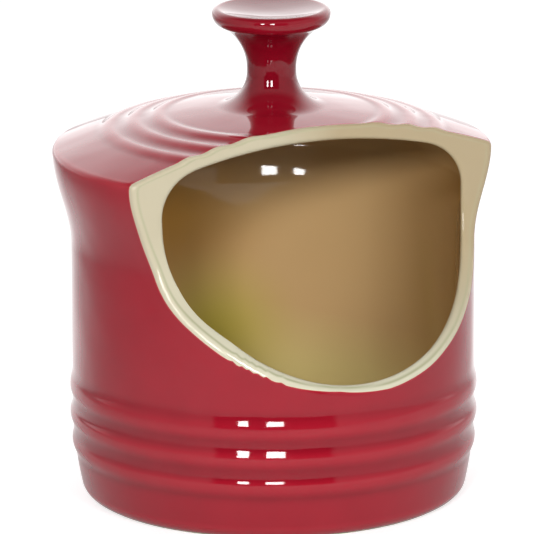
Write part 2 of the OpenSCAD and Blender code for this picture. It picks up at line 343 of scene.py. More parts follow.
# %% [markdown]
# ## The mouth
# The mouth is one cut with a wire: straight down behind the front of the dome, then bending forward and
# sloping out through the wall. A Boolean with a bent block would cut it, but leaves a ragged mesh along
# the edge. Seen from the side the cut is a bent line, and it runs straight from left to right, so the cut
# face can be rolled out flat. On that flat sheet the lip is a plain ring between two closed curves, and
# rays from its middle find both.

# %% The cut sheet, rolled out flat
mouth_set = 24.3  # depth of the upright part, in front of the axis
mouth_round = 31.4
sill_h = 38.9  # height of the slope where it meets the waist
sill_slope = math.radians(43.5)
bend_y = mouth_set + mouth_round
bend_h = sill_h + (mouth_round - (bend_y - waist_r) * math.sin(sill_slope)) / math.cos(sill_slope)
bend_length = mouth_round * (math.pi / 2 - sill_slope)


def sheet(down, back):
    """Depth and height of the cut sheet at a distance down from its bend, moved back into the clay."""
    turn = math.pi + np.clip(down, 0, bend_length) / mouth_round
    run = np.maximum(down - bend_length, 0)
    depth = bend_y + (mouth_round + back) * np.cos(turn) + run * math.cos(sill_slope)
    height = bend_h + (mouth_round + back) * np.sin(turn) - np.minimum(down, 0) - run * math.sin(sill_slope)
    return depth, height


print("the cut bends at", round(bend_h, 1), "mm over", round(bend_length, 1), "mm")

# %% Where a ray on the sheet leaves the pot
sheet_reach = 90.0
halvings = 44


def lip_edge(ray, back, angle, reach):
    """Where rays on the cut sheet meet a turned surface, found by halving."""
    near, far = np.zeros_like(ray), np.full_like(ray, sheet_reach)
    for _ in range(halvings):
        middle = (near + far) / 2
        x = middle * np.sin(ray)
        depth, z = sheet(middle * np.cos(ray), back)
        r = np.hypot(x, depth)
        short = np.hypot(r, z - heart_h) < np.interp(np.arctan2(z - heart_h, r), angle, reach)
        near, far = np.where(short, middle, near), np.where(short, far, middle)
    return np.stack([x, -depth, z], -1)


print("sill at", lip_edge(np.zeros(1), 0, body_angle, body_reach)[0].round(1))

# %% [markdown]
# ## The lip
# The cut edge was wiped with a wet sponge, which rounds it: a little outside, more inside, and most at
# the sill, where the sponge was pulled through. The two glazes meet near the outer edge along a line that
# wanders: on the left the cerise stops short of the rounding, below and on the right it climbs on to it.
# A Bevel modifier gives one width all round, so here each ray gives one section of the lip. Its roundings
# are curves with three control points, with the sharp corner as the middle one, so they leave both faces
# without a kink.

# %% Rays round the mouth, with one through each corner of the shoulder
ray_count = 460
strip_back = 1.8  # the cerise strip round the mouth starts this far behind the cut
corner_search = (60, 150)  # degrees, from straight down


def shoulder_ray():
    """The ray whose outer end lies on the shoulder, on the right."""
    low, high = (math.radians(place) for place in corner_search)
    for _ in range(halvings):
        middle = (low + high) / 2
        if lip_edge(np.array([middle]), strip_back, body_angle, body_reach)[0, 2] < shoulder_h:
            low = middle
        else:
            high = middle
    return middle


corner = shoulder_ray()
low_rays = np.linspace(-corner, corner, 2 * int(ray_count * corner / math.pi / 2) + 1)
high_rays = np.linspace(corner, 2 * math.pi - corner, ray_count - len(low_rays) + 2)
rays = np.concatenate([low_rays, high_rays[1:-1]])
ray_turn = np.degrees(np.where(rays > math.pi, rays - 2 * math.pi, rays))
print(len(low_rays), "rays below the shoulder,", len(high_rays), "above it")

# %% How far the sponge rounded the lip, by place round the mouth in degrees from the sill
outer_soft = 1.0
outer_flat = 1.2
sponge_places = (-180, -110, -90, -70, -45, -15, 30, 60, 90, 180)
sponge_back = (2.0, 3.2, 2.2, 0.8, 1.3, 5.2, 5.2, 2.3, 1.6, 2.0)
sponge_across = (2.0, 3.2, 2.2, 0.8, 1.3, 7.0, 7.0, 2.3, 1.6, 2.0)
inner_soft = np.interp(ray_turn, sponge_places, sponge_back)
inner_flat = np.interp(ray_turn, sponge_places, sponge_across)[:, None]
print("sponged back", outer_soft, "mm outside, up to", inner_soft.max().round(1), "mm inside")

# %% Where the two glazes meet, with a slow wander and a few nibs on the lower left
meet_places = (-180, -115, -100, -46, -24, -8, 8, 45, 100, 125, 180)
meet_reach = (1.0, 0.9, 0.6, 0.5, 1.5, 2.8, 1.7, 1.2, 1.5, 1.2, 1.0)
wanders = ((0.06, 5, 0.6), (0.05, 11, 0), (0.03, 23, 1))  # reach, waves round the mouth, start
nib_places = (-42, -38.5, -36.4, -33.6, -30.7, -26.3)
nib_reach = 0.45
nib_width = 1.8
nib_lead = 0.4  # share of its width over which a nib rises

glaze_reach = np.interp(ray_turn, meet_places, meet_reach)
for reach, waves, start in wanders:
    glaze_reach += reach * np.sin(waves * rays + start)
for place in nib_places:
    late = (ray_turn - place) / nib_width
    glaze_reach += nib_reach * np.clip(np.minimum(1 - late, 1 + late / nib_lead), 0, 1)
print("the glazes meet", glaze_reach.min().round(1), "to", glaze_reach.max().round(1), "mm along")


# %% Walking along sections
def bend(start, corner_point, end, count):
    """A rounding with three control points, without its first point."""
    t = np.linspace(0, 1, count + 1)[1:, None, None]
    return (1 - t) ** 2 * start + 2 * t * (1 - t) * corner_point + t**2 * end


def lengths_across(section):
    """Distance from the start of each section to each of its points."""
    steps_across = np.linalg.norm(np.diff(section, axis=0), axis=2)
    return np.concatenate([np.zeros((1, len(rays))), np.cumsum(steps_across, axis=0)])


def walked(section, distance):
    """Points at distances along each section."""
    run = lengths_across(section)
    points = np.empty((*distance.shape, 3))
    for ray in range(len(rays)):
        for axis in range(3):
            points[:, ray, axis] = np.interp(distance[:, ray], run[:, ray], section[:, ray, axis])
    return points


# %% Sections of the lip
face_rows, outer_rows, strip_rows, lip_rows, inner_rows = 5, 14, 9, 16, 12
most_flat = 0.96  # share of the lip's width that both roundings may take together

outer_corner = lip_edge(rays, 0, body_angle, body_reach)
inner_corner = lip_edge(rays, 0, lip_angle, lip_reach)
inner_end = lip_edge(rays, inner_soft, lip_angle, lip_reach)
across = inner_corner - outer_corner
width = np.linalg.norm(across, axis=1, keepdims=True)
share = np.minimum(1, most_flat * width / (outer_flat + inner_flat))
outer_turn = outer_corner + across / width * outer_flat * share
inner_turn = inner_corner - across / width * inner_flat * share
face_backs = np.linspace(strip_back, outer_soft, face_rows)
outer_face = np.stack([lip_edge(rays, back, body_angle, body_reach) for back in face_backs])
outer_bend = bend(outer_face[-1], outer_corner, outer_turn, outer_rows)
face_middle = (outer_turn + inner_turn) / 2
outer_part = np.concatenate([outer_face, outer_bend, face_middle[None]])
left_over = lengths_across(outer_part)[-1] - glaze_reach
strip = walked(outer_part, np.linspace(0, 1, strip_rows)[:, None] * glaze_reach)
lip = np.concatenate([
    walked(outer_part, glaze_reach + np.linspace(0, 1, lip_rows)[:, None] * left_over),
    inner_turn[None],
    bend(inner_turn, inner_corner, inner_end, inner_rows),
])
print("lip", len(lip), "points across, from", width.min().round(1), "to", width.max().round(1), "mm wide")

# %% [markdown]
# ## From points to pieces
# A piece is a mesh made of rows and columns of points. Quads between neighbours give clean loops that
# follow the form, which a glossy glaze needs: every dent in the mesh would show in its reflections. A
# remesh would lose the crisp glaze line. The Solidify modifier then gives the skin its thickness, inward,
# so that each glaze coat is a closed solid like the real one.


# %% Faces from tables of point numbers
def quads(index):
    """Faces between the neighbours in a table of point numbers."""
    return np.stack([index[:-1, :-1], index[:-1, 1:], index[1:, 1:], index[1:, :-1]], -1).reshape(-1, 4)


def closed(index):
    """The same table with its first column again at the end."""
    return np.concatenate([index, index[:, :1]], 1)


print("a closed band of 2 x 4 points has", len(quads(closed(np.arange(8).reshape(2, 4)))), "faces")

# %% Skins and their thickness
glaze_t = 0.5
crisp_angle = math.radians(50)


def skin(name, points, faces, traits):
    """A mesh object in metres from points in millimetres, with named values on its points."""
    used, numbers = np.unique(faces, return_inverse=True)
    corners = numbers.reshape(faces.shape).tolist()
    mesh = bpy.data.meshes.new(name)
    mesh.from_pydata((points[used] * MM).tolist(), [], [list(dict.fromkeys(face)) for face in corners])
    for trait_name, values in traits.items():
        stored = mesh.attributes.new(trait_name, "FLOAT", "POINT")
        stored.data.foreach_set("value", values[used].astype(np.float32))
    mesh.polygons.foreach_set("use_smooth", [True] * len(mesh.polygons))
    piece = bpy.data.objects.new(name, mesh)
    scene.collection.objects.link(piece)
    return piece


def thicken(piece, thickness):
    """Gives a skin its thickness, inward, with crisp rims."""
    coat = piece.modifiers.new("coat", "SOLIDIFY")
    coat.thickness = thickness * MM
    coat.offset = -1
    solid = bpy.data.meshes.new_from_object(piece.evaluated_get(bpy.context.evaluated_depsgraph_get()))
    piece.modifiers.clear()
    piece.data = solid
    solid.set_sharp_from_angle(angle=crisp_angle)
    print(piece.name, len(solid.polygons), "faces")


# %% [markdown]
# ## The cerise coat
# This is the outer glaze, one unbroken skin over wall, dome and knob. It could be spun whole and trimmed
# with a Boolean, but then the mouth's edge would cut across the loops. Below the shoulder its columns end
# just short of the mouth's edge or run up to the shoulder, above it they start there. Both halves share
# their columns at the back, and a strip round the mouth carries them on to the glaze line. Rows are level
# round the rings and the knob, so each ring keeps its true section all round.

# %% How thick the glaze lies: it draws off sharp edges and pools in hollows
edge_window = 0.9  # the outline's turn is measured this far to each side
sharp_turn = 0.9  # radians of turn in that window for a thinness of 1
most_pooled, most_thin = -1, 0.4
knob_pool = 0.75  # the glaze lies thicker on the knob
knob_fade = 14  # and gets there over this length up from the dome
heading = np.unwrap(np.arctan2(*np.gradient(outline, axis=0).T[::-1]))
ahead = np.interp(outline_s + edge_window, outline_s, heading)
behind = np.interp(outline_s - edge_window, outline_s, heading)
outline_thin = np.clip((ahead - behind) / sharp_turn, most_pooled, most_thin)
outline_thin -= knob_pool * np.clip((outline_s - outline_s[len(body)]) / knob_fade, 0, 1)
print("glaze from", outline_thin.min().round(2), "where it pools to", outline_thin.max().round(2))

# %% Columns, from the mouth round to the back
back_columns = 150


def outline_place(point):
    """Distance along the outline of points on the body."""
    angle = np.arctan2(point[:, 2] - heart_h, np.hypot(point[:, 0], point[:, 1]))
    return np.interp(angle, body_angle, outline_s[: len(body)])


def turn_of(point):
    """Angle of points round the axis, from the mouth's direction."""
    return np.arctan2(point[:, 0], -point[:, 1])


low_count = len(low_rays)
low_order = np.arange(low_count)
high_order = np.concatenate([[0], np.arange(low_count, len(rays))[::-1], [low_count - 1]])
low_line, high_line = strip[0, low_order], strip[0, high_order]
corner_turn = turn_of(low_line[-1:])[0]
back_turn = np.linspace(corner_turn, 2 * math.pi - corner_turn, back_columns + 2)[1:-1]
low_turn = np.concatenate([turn_of(low_line), back_turn])
high_turn = np.concatenate([turn_of(high_line), back_turn])
at_shoulder = np.full(back_columns, shoulder_s)
low_end = np.concatenate([outline_place(low_line), at_shoulder])
high_start = np.concatenate([outline_place(high_line), at_shoulder])
print(len(low_turn), "columns below the shoulder,", len(high_turn), "above it")

# %% Rows, as distances along the outline
belt_h = 36  # rows are level below this height
collar_r = 21  # and inside this radius
rise_rows = 70
dome_rows = 120
dome_crowding = 1.5  # over 1, rows lie closer near the mouth
belt_s = np.interp(belt_h, outline[:shoulder_i, 1], outline_s[:shoulder_i])
dome_part = slice(shoulder_i, len(body))
collar_s = np.interp(-collar_r, -outline[dome_part, 0], outline_s[dome_part])
rise = np.linspace(0, 1, rise_rows)[:, None]
dome_run = np.linspace(0, 1, dome_rows)[:, None] ** dome_crowding
foot_s = outline_s[outline_s < belt_s]
knob_s = outline_s[outline_s > collar_s + step]
low_s = np.concatenate([
    np.repeat(foot_s[:, None], len(low_turn), 1),
    belt_s + rise * (low_end - belt_s),
])
high_s = np.concatenate([
    high_start + dome_run * (collar_s - high_start),
    np.repeat(knob_s[:, None], len(high_turn), 1),
])
print(len(low_s), "rows below the shoulder,", len(high_s), "above it")


# %% Points and faces, with shared points where the halves and the strip meet
def turned(s, turn):
    """Points of the outline at distances s, turned round the axis."""
    r, z = np.interp(s, outline_s, outline[:, 0]), np.interp(s, outline_s, outline[:, 1])
    return np.stack([r * np.sin(turn), -r * np.cos(turn), z], -1).reshape(-1, 3)


strip_size = strip[..., 0].size
low_index = np.arange(low_s.size).reshape(low_s.shape)
high_index = low_s.size + np.arange(high_s.size).reshape(high_s.shape)
high_index[0, len(high_line):] = low_index[-1, len(low_line):]
high_index[0, 0] = low_index[-1, 0]
high_index[0, len(high_line) - 1] = low_index[-1, len(low_line) - 1]
high_index[-1] = high_index[-1, 0]
strip_index = low_s.size + high_s.size + np.arange(strip_size).reshape(strip.shape[:2])
strip_index[0, low_order] = low_index[-1, :low_count]
strip_index[0, high_order] = high_index[0, : len(high_line)]
coat_points = np.concatenate([turned(low_s, low_turn), turned(high_s, high_turn), strip.reshape(-1, 3)])
coat_faces = np.concatenate([quads(closed(index)) for index in (low_index, high_index, strip_index)])
print(len(coat_points), "points,", len(coat_faces), "faces")

# %% Thin glaze near the lip, and the finished coat
lip_fade = 0.5
far_off = 9.0  # stands for the distance to the mouth on the back columns
at_back = np.full(back_columns, far_off)
low_reach = np.concatenate([glaze_reach[low_order], at_back])
high_reach = np.concatenate([glaze_reach[high_order], at_back])
to_line = np.concatenate([
    (low_end - low_s + low_reach).ravel(),
    (high_s - high_start + high_reach).ravel(),
    (np.linspace(1, 0, len(strip))[:, None] * glaze_reach).ravel(),
])
turned_thin = np.interp(np.concatenate([low_s.ravel(), high_s.ravel()]), outline_s, outline_thin)
coat_thin = np.maximum(np.concatenate([turned_thin, np.zeros(strip_size)]), 1 - to_line / lip_fade)
cerise_coat = skin("cerise_coat", coat_points, coat_faces, {"glaze_thin": coat_thin})
thicken(cerise_coat, glaze_t)

# %% [markdown]
# ## The cream coat
# The cream glaze starts at the glaze line, rolls over the lip and lines the whole hollow. Lip and lining
# could be two pieces, but a seam between them would show in the gloss, so one skin makes both. Its
# columns follow the rays of the mouth. Past the lip each column sweeps on to one point at the middle of
# the back wall, the way lines of longitude meet at a pole, and every point is set on the hollow's
# outline.

# %% Lip and lining in one skin
lining_rows = 150
lip_depth = 9  # the lip's upright inside runs out into the lining over this length
heart = np.array([0, 0, heart_h])
to_back = np.array([0, 1.0, 0])
to_edge = inner_end - heart
to_edge /= np.linalg.norm(to_edge, axis=1, keepdims=True)
swing = np.arccos(np.clip(to_edge @ to_back, -1, 1))
done = np.linspace(0, 1, lining_rows + 1)[1:, None]
sweep = np.sin((1 - done) * swing)[..., None] * to_edge + np.sin(done * swing)[..., None] * to_back
sweep /= np.sin(swing)[:, None]
lift = np.arctan2(sweep[..., 2], np.hypot(sweep[..., 0], sweep[..., 1]))
past_lip = eased(np.clip(done * swing * cavity_r / lip_depth, 0, 1))
lining_reach = np.interp(lift, hollow_angle, hollow_reach)
lining_reach += (1 - past_lip) * (np.interp(lift, lip_angle, lip_reach) - lining_reach)
cream = np.concatenate([lip, heart + sweep * lining_reach[..., None]])
cream_index = np.arange(cream.shape[0] * len(rays)).reshape(cream.shape[:2])
cream_index[-1] = cream_index[-1, 0]
print("cream coat", cream.shape[0], "rows,", cream.shape[1], "columns")

# %% Colour of the lip by place: a greenish seam where the glaze lies thick, and a toasted right side
seam_places = (-180, -125, -110, -50, -15, 60, 100, 150, 180)
seam_reach = (1.0, 1.4, 2.4, 2.5, 1.4, 1.6, 1.8, 1.2, 1.0)
seam_half = 0.35
seam_lost = 0.7  # share of the seam that toasting hides
toast_places = (-180, -150, -90, -50, 20, 75, 160, 180)
toast_depth = (0.75, 0.45, 0.45, 0, 0, 1, 1, 0.75)
walk = lengths_across(cream)
from_lip = walk - walk[len(lip) - 1]
toasted = np.ones((len(cream), 1)) * np.interp(ray_turn, toast_places, toast_depth)
off_seam = (walk - np.interp(ray_turn, seam_places, seam_reach)) / seam_half
seam = np.exp(-(off_seam**2)) * (1 - seam_lost * toasted)
print("seam", min(seam_reach), "to", max(seam_reach), "mm from the glaze line")

# %% Colour of the lining by place: greener low down, painted shade on the flanks and in an umber patch, a moss stain
green_h, green_run = 42, 22
green_side = 0.008  # more green to the left, for each millimetre
# Painted shade: the lining turns darker brown towards its flanks, away from the middle of the back wall
flank_shade_start, flank_shade_run = 57, 48  # degrees from the middle of the back
from_back = np.degrees(np.arctan2(np.abs(cream[..., 0]), cream[..., 1]))
off_axis = np.clip(2 * np.hypot(cream[..., 0], cream[..., 1]) / cavity_r - 1, 0, 1)
low_down = np.clip((green_h - cream[..., 2]) / green_run, 0, 1) - green_side * cream[..., 0]
flank_shade = np.clip((from_back - flank_shade_start) / flank_shade_run, 0, 1) * off_axis


def round_patch(centre, size):
    """Strength of a round patch in the lining, 1 in its middle and 0 at its edge."""
    return eased(np.clip(1 - np.linalg.norm(cream - centre, axis=-1) / size, 0, 1))


# Painted shade: a darker, browner round patch on the back wall, deepening the shade under the lip
umber_shade = round_patch(centre=(-6, 48, 64), size=34)
moss = round_patch(centre=(6, 48, 30), size=27)
print("umber up to", umber_shade.max().round(2), "moss up to", moss.max().round(2))

# %% The finished cream coat
cream_traits = {
    "from_lip": from_lip,
    "toasted": toasted,
    "low_down": low_down,
    "flank_shade": flank_shade,
    "seam": seam,
    "umber_shade": umber_shade,
    "moss": moss,
}
cream_values = {name: values.ravel() for name, values in cream_traits.items()}
cream_coat = skin("cream_coat", cream.reshape(-1, 3), quads(closed(cream_index)), cream_values)
thicken(cream_coat, glaze_t)

# %% [markdown]
# ## The base patch
# Under the pot, inside the bare foot ring, the glaze lies in a shallow recess and draws down in a small
# fillet where it meets the ring. A flat disc would do for a stand-in, but the fillet gives the patch a
# rim that catches the light, so it is turned from a short outline as the coat is.

# %% Base patch
foot_ring_w = 5
foot_recess = 1.5
base_fillet = 0.7
fillet_end = 12  # degrees above level
fillet_thin, base_pooled = 0.5, -0.3
base_columns, base_every = 128, 4
foot_out_r = foot_centre[0] + foot_round * math.cos(math.radians(glaze_end)) - glaze_t
base_r = foot_out_r - foot_ring_w
flat_rs = along(0, base_r - base_fillet)
base_line = joined([
    np.stack([flat_rs, np.full_like(flat_rs, foot_recess)], 1),
    arc((base_r - base_fillet, foot_recess - base_fillet), base_fillet, 90, fillet_end),
])[::base_every]
base_turn = np.linspace(0, 2 * math.pi, base_columns + 1)[:-1]
base_spread = np.ones((len(base_line), 1)) * base_turn
base_points = np.stack([
    base_line[:, :1] * np.sin(base_spread),
    base_line[:, :1] * np.cos(base_spread),
    base_line[:, 1:] * np.ones_like(base_spread),
], -1).reshape(-1, 3)
base_index = np.arange(base_spread.size).reshape(base_spread.shape)
base_index[0] = 0
row_thin = np.where(base_line[:, 0] > base_r - base_fillet, fillet_thin, base_pooled)
base_thin = np.repeat(row_thin, base_columns)
base_patch = skin("base_patch", base_points, quads(closed(base_index)), {"glaze_thin": base_thin})
thicken(base_patch, glaze_t)

# %% [markdown]
# ## Where the pieces belong
# On the real pot each glaze is fired on to the clay, so every skin rides on the same body and stands for
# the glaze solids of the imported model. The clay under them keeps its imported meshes, because their shape
# is right.

# %% Where the pieces belong
for piece, slot, nodes in (
    (cerise_coat, "cerise_glaze", ["outer_glaze"]),
    (cream_coat, "cream_glaze", ["inner_glaze", "lip_glaze"]),
    (base_patch, "cerise_glaze", ["base_glaze"]),
):
    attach(piece, "root")
    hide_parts(*nodes)
    print(piece.name, "stands for", nodes)

# %% [markdown]
# ## The cerise finish
# A glaze is glass over clay: a clear gloss with a fine orange peel and a slow swell from the dip. Its
# colour comes from how thick the glass lies, dark where it pools and pink where it thins on an edge. A
# pointiness node could find the edges, but it depends on the mesh, so the thickness was stored on the
# points and drives a colour ramp.

# %% A new finish, and values stored on the points
surface_ior = 1.5


def finish(name, roughness):
    """A new material, its node tree and its main shader."""
    material = bpy.data.materials.new(name)
    material.use_nodes = True
    tree = material.node_tree
    shader = tree.nodes["Principled BSDF"]
    shader.inputs["Roughness"].default_value = roughness
    shader.inputs["IOR"].default_value = surface_ior
    print("finish", name, "with roughness", roughness)
    return material, tree, shader


def trait(tree, name):
    """A named value that was stored on the points."""
    node = tree.nodes.new("ShaderNodeAttribute")
    node.attribute_name = name
    return node.outputs["Fac"]


# %% Noise, sums and colour ramps
def noise(tree, size, detail, roughness=0.5):
    """A noise texture whose blotches are about this many millimetres across, in the object's own space."""
    place = tree.nodes.new("ShaderNodeTexCoord")
    texture = tree.nodes.new("ShaderNodeTexNoise")
    texture.inputs["Scale"].default_value = 1 / (size * MM)
    texture.inputs["Detail"].default_value = detail
    texture.inputs["Roughness"].default_value = roughness
    tree.links.new(place.outputs["Object"], texture.inputs["Vector"])
    return texture.outputs["Fac"]


def feed(tree, socket, value):
    """Gives a socket a plain value or a link."""
    if isinstance(value, bpy.types.NodeSocket):
        tree.links.new(value, socket)
    else:
        socket.default_value = value


def sums(tree, operation, first, second):
    """One math step between two values or sockets."""
    node = tree.nodes.new("ShaderNodeMath")
    node.operation = operation
    feed(tree, node.inputs[0], first)
    feed(tree, node.inputs[1], second)
    return node.outputs["Value"]


def ramp(tree, source, stops):
    """A colour ramp with (position, colour) stops."""
    node = tree.nodes.new("ShaderNodeValToRGB")
    while len(node.color_ramp.elements) < len(stops):
        node.color_ramp.elements.new(0.5)
    for element, (position, colour) in zip(node.color_ramp.elements, stops):
        element.position = position
        element.color = (*colour, 1)
    tree.links.new(source, node.inputs["Fac"])
    return node.outputs["Color"]


# %% Bumps
peel_depth = 0.006


def relief(tree, shader, layers):
    """Chains bumps, each a height socket with its depth in millimetres, into the shader's normal."""
    normal = None
    for height, depth in layers:
        bump = tree.nodes.new("ShaderNodeBump")
        bump.inputs["Distance"].default_value = depth * MM
        tree.links.new(height, bump.inputs["Height"])
        if normal:
            tree.links.new(normal, bump.inputs["Normal"])
        normal = bump.outputs["Normal"]
    tree.links.new(normal, shader.inputs["Normal"])


def glass_surface(tree, shader, swell_size, swell_depth, peel_size):
    """The slow swell and the fine orange peel of a glaze, in millimetres."""
    swell = noise(tree, swell_size, detail=1)
    peel = noise(tree, peel_size, detail=1)
    relief(tree, shader, [(swell, swell_depth), (peel, peel_depth)])


# %% Cerise glaze
cerise, cerise_tree, cerise_shader = finish("cerise_glaze", roughness=0.045)
thin_share, blotch_share, even_level = 0.5, 0.16, 0.42
blotch = sums(cerise_tree, "MULTIPLY", noise(cerise_tree, size=9, detail=4), blotch_share)
thin = sums(cerise_tree, "MULTIPLY", trait(cerise_tree, "glaze_thin"), thin_share)
level = sums(cerise_tree, "ADD", sums(cerise_tree, "ADD", thin, even_level), blotch)
cerise_colour = ramp(cerise_tree, level, [
    (0.15, (0.18, 0.002, 0.009)),
    (0.58, (0.33, 0.007, 0.019)),
    (0.85, (0.38, 0.018, 0.030)),
    (1.0, (0.50, 0.10, 0.10)),
])
cerise_tree.links.new(cerise_colour, cerise_shader.inputs["Base Color"])
glass_surface(cerise_tree, cerise_shader, swell_size=14, swell_depth=0.25, peel_size=1.6)
print("cerise glaze", len(cerise_tree.nodes), "nodes")

# %% [markdown]
# ## The cream finish
# The cream glaze isn't one colour. The lip is pale on the left and toasted on the right, with a greenish
# seam where the glaze lies thick. The lining is tan, greener towards the floor, with a moss stain on the
# back wall; its flanks and an umber patch on the back wall are painted shade, a darker brown. Vertex
# painting could do this by hand, but formulas by place are easier to change, so those values lie on the
# points and each one blends in its own colour.

# %% Blending two colours
colour_inputs, colour_output = (6, 7), 2  # places of a Mix node's colour sockets


def blended(tree, share_socket, first, second):
    """Goes from one colour to another as a value goes from 0 to 1."""
    node = tree.nodes.new("ShaderNodeMix")
    node.data_type = "RGBA"
    tree.links.new(share_socket, node.inputs["Factor"])
    for place, colour in zip(colour_inputs, (first, second)):
        feed(tree, node.inputs[place], colour)
    return node.outputs[colour_output]


# %% Cream glaze
cream_glaze, cream_tree, cream_shader = finish("cream_glaze", roughness=0.07)
lip_cream, lip_toast = (0.62, 0.59, 0.445, 1), (0.425, 0.335, 0.20, 1)
lining_tan, lining_green = (0.50, 0.325, 0.15, 1), (0.55, 0.46, 0.18, 1)
inward_run = 8  # millimetres from lip to lining
cloud_share = 0.1

lip_colour = blended(cream_tree, trait(cream_tree, "toasted"), lip_cream, lip_toast)
lip_colour = blended(cream_tree, trait(cream_tree, "seam"), lip_colour, (0.40, 0.395, 0.25, 1))
lining_colour = blended(cream_tree, trait(cream_tree, "low_down"), lining_tan, lining_green)
# The umber and flank colours are painted shade, a darker brown; the moss colour is a stain
for name, colour in (
    ("umber_shade", (0.35, 0.185, 0.045, 1)),
    ("moss", (0.41, 0.335, 0.06, 1)),
    ("flank_shade", (0.28, 0.14, 0.037, 1)),
):
    lining_colour = blended(cream_tree, trait(cream_tree, name), lining_colour, colour)
inward = sums(cream_tree, "MULTIPLY", trait(cream_tree, "from_lip"), 1 / inward_run)
clouds = sums(cream_tree, "MULTIPLY", noise(cream_tree, size=12, detail=3), cloud_share)
cloudy_inward = sums(cream_tree, "ADD", inward, clouds)
inside_part = ramp(cream_tree, cloudy_inward, [(0.05, (0, 0, 0)), (0.8, (1, 1, 1))])
cream_colour = blended(cream_tree, inside_part, lip_colour, lining_colour)
cream_tree.links.new(cream_colour, cream_shader.inputs["Base Color"])
glass_surface(cream_tree, cream_shader, swell_size=16, swell_depth=0.2, peel_size=1.8)
print("cream glaze", len(cream_tree.nodes), "nodes")

# %% [markdown]
# ## The bare clay
# The foot ring is left bare, so that the pot doesn't stick to the kiln shelf. Fired clay is matt, with
# sandy specks and a grain that can be felt. An image of clay could be wrapped round it, but a noise has
# no seams and any scale.

# %% Bare stoneware
clay, clay_tree, clay_shader = finish("bare_stoneware", roughness=0.85)
grain_depth = 0.08
clay_colour = ramp(clay_tree, noise(clay_tree, size=0.8, detail=6, roughness=0.7), [
    (0.3, (0.42, 0.33, 0.22)),
    (0.5, (0.60, 0.51, 0.38)),
    (0.75, (0.68, 0.60, 0.48)),
])
clay_tree.links.new(clay_colour, clay_shader.inputs["Base Color"])
relief(clay_tree, clay_shader, [(noise(clay_tree, size=0.5, detail=4, roughness=0.6), grain_depth)])
print("bare stoneware", len(clay_tree.nodes), "nodes")

# %% Each piece gets its finish
for piece, material in (
    (cerise_coat, cerise),
    (base_patch, cerise),
    (cream_coat, cream_glaze),
    (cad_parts["pot"], clay),
    (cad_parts["domed_top"], clay),
    (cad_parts["knob"], clay),
):
    piece.data.materials.clear()
    piece.data.materials.append(material)
    print(piece.name, "in", material.name)

# %% [markdown]
# ## The floor
# The pot stands on a white table that ends a little in front of it. Its paper is a plain grey that takes
# the pot's shadow, and a glow that only the camera and mirror images see lifts it to white. In the glaze
# the table shows white behind the pot and dimmer in a pool before it. A stronger lamp could whiten the
# paper too, but it would also light the pot.


# %% Helpers for light that changes with place or direction
def position_part(tree, output, axis):
    """How far a point or a ray's direction lies along an axis."""
    place = tree.nodes.new("ShaderNodeTexCoord")
    dot = tree.nodes.new("ShaderNodeVectorMath")
    dot.operation = "DOT_PRODUCT"
    dot.inputs[1].default_value = axis
    tree.links.new(place.outputs[output], dot.inputs[0])
    return dot.outputs["Value"]


def fade(tree, value, start, end):
    """Rises smoothly from 0 at start to 1 at end."""
    node = tree.nodes.new("ShaderNodeMapRange")
    node.interpolation_type = "SMOOTHSTEP"
    node.inputs["From Min"].default_value = start
    node.inputs["From Max"].default_value = end
    tree.links.new(value, node.inputs["Value"])
    return node.outputs["Result"]


# %% Floor, in metres, turned to the camera
floor_side, floor_front, floor_back = 6, 0.45, 6
floor_mesh = bpy.data.meshes.new("floor")
floor_corners = [
    (-floor_side, -floor_front, 0),
    (floor_side, -floor_front, 0),
    (floor_side, floor_back, 0),
    (-floor_side, floor_back, 0),
]
floor_mesh.from_pydata(floor_corners, [], [(0, 1, 2, 3)])
floor = bpy.data.objects.new("floor", floor_mesh)
floor.matrix_world = turned_away
scene.collection.objects.link(floor)
print("floor", 2 * floor_side, "m wide, ends", floor_front, "m in front of the pot")

# %% Paper, with fades from its start to its end in metres
pool_front_fade, pool_left_fade, pool_right_fade = (0.34, 0.1), (0.3, 0.1), (-0.2, -0.06)
near_back_fade, far_back_fade = (0, -0.15), (-0.25, -0.6)
pool_share = 0.4
glow_strength = 0.65

paper, paper_tree, paper_shader = finish("floor_paper", roughness=0.9)
paper_shader.inputs["Base Color"].default_value = (0.6, 0.6, 0.6, 1)
paper_shader.inputs["Specular IOR Level"].default_value = 0
paper_shader.inputs["Emission Color"].default_value = (1, 1, 1, 1)
ray_kind = paper_tree.nodes.new("ShaderNodeLightPath").outputs
mirror_ray = sums(paper_tree, "MAXIMUM", ray_kind["Is Glossy Ray"], ray_kind["Is Transmission Ray"])
in_front = position_part(paper_tree, "Object", (0, -1, 0))
at_left = position_part(paper_tree, "Object", (-1, 0, 0))
pool_front = fade(paper_tree, in_front, *pool_front_fade)
pool_left = fade(paper_tree, at_left, *pool_left_fade)
pool_right = fade(paper_tree, at_left, *pool_right_fade)
pool = sums(paper_tree, "MULTIPLY", sums(paper_tree, "MULTIPLY", pool_front, pool_left), pool_share)
sides = sums(paper_tree, "MULTIPLY", pool_left, pool_right)
near_back = sums(paper_tree, "MULTIPLY", fade(paper_tree, in_front, *near_back_fade), sides)
white_part = sums(paper_tree, "MAXIMUM", near_back, fade(paper_tree, in_front, *far_back_fade))
in_mirror = sums(paper_tree, "MULTIPLY", mirror_ray, sums(paper_tree, "ADD", pool, white_part))
shown = sums(paper_tree, "MAXIMUM", ray_kind["Is Camera Ray"], in_mirror)
paper_glow = sums(paper_tree, "MULTIPLY", shown, glow_strength)
paper_tree.links.new(paper_glow, paper_shader.inputs["Emission Strength"])
floor_mesh.materials.append(paper)
print("floor paper", len(paper_tree.nodes), "nodes")

# %% [markdown]
# ## The tent
# Glossy ware is photographed in a tent of white cloth, because it mirrors all that stands round it. Even
# cloth gives the pale veil on the flanks, a dark gap round the camera the deep red in front, a bright
# back the shine on the dome's far side, and a dim top keeps the dome red. Real planes of cloth would do,
# but a world that changes with direction needs no extra meshes. To the camera itself the world is plain
# white.

